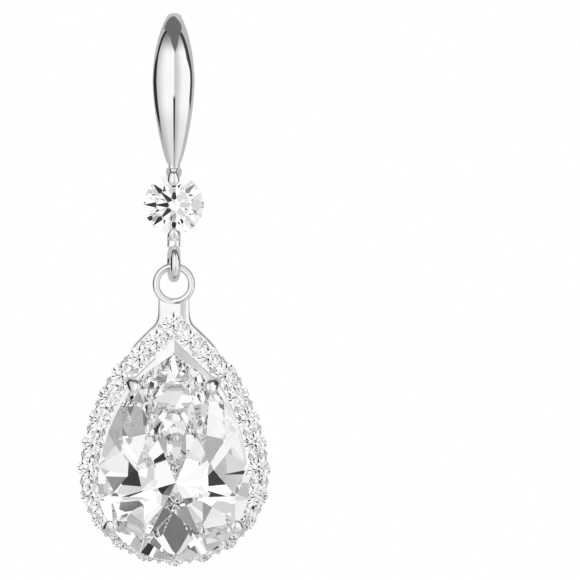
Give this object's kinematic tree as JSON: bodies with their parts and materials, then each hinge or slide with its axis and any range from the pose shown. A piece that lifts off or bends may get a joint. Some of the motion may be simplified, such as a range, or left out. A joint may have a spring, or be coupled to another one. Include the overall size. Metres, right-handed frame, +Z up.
{
  "type": "teardrop earring",
  "caption": "Hanging earring: a domed leaf hook with a round stone and a loop, from which a pear stone in a halo of small round stones swings.",
  "frame": {"origin": "underside of the ear wire at the crown of its arch, where the earring rests in the ear", "axes": "+Z up, -Y towards the front that shows, +X to the right seen from the front"},
  "size_m": [0.0166, 0.0117, 0.0479],
  "materials": {
    "silver_metal": "polished bright silver-coloured plating",
    "clear_stone": "clear faceted cubic zirconia, polished"
  },
  "bodies": {
    "hook": {"ear_hook": "silver_metal", "round_stone": "clear_stone"},
    "pendant": {"pendant_setting": "silver_metal", "pear_stone": "clear_stone", "halo_stone_01": "clear_stone", "halo_stone_02": "clear_stone", "halo_stone_03": "clear_stone", "halo_stone_04": "clear_stone", "halo_stone_05": "clear_stone", "halo_stone_06": "clear_stone", "halo_stone_07": "clear_stone", "halo_stone_08": "clear_stone", "halo_stone_09": "clear_stone", "halo_stone_10": "clear_stone", "halo_stone_11": "clear_stone", "halo_stone_12": "clear_stone", "halo_stone_13": "clear_stone", "halo_stone_14": "clear_stone", "halo_stone_15": "clear_stone", "halo_stone_16": "clear_stone", "halo_stone_17": "clear_stone", "halo_stone_18": "clear_stone", "halo_stone_19": "clear_stone", "halo_stone_20": "clear_stone", "halo_stone_21": "clear_stone", "halo_stone_22": "clear_stone", "halo_stone_23": "clear_stone", "halo_stone_24": "clear_stone"}
  },
  "joints": [
    {"name": "pendant_swing", "type": "hinge", "parent": "hook", "child": "pendant", "pos_m": [0, -0.002, -0.02209], "axis": [0, 1, 0], "range_deg": [-60, 60]}
  ]
}
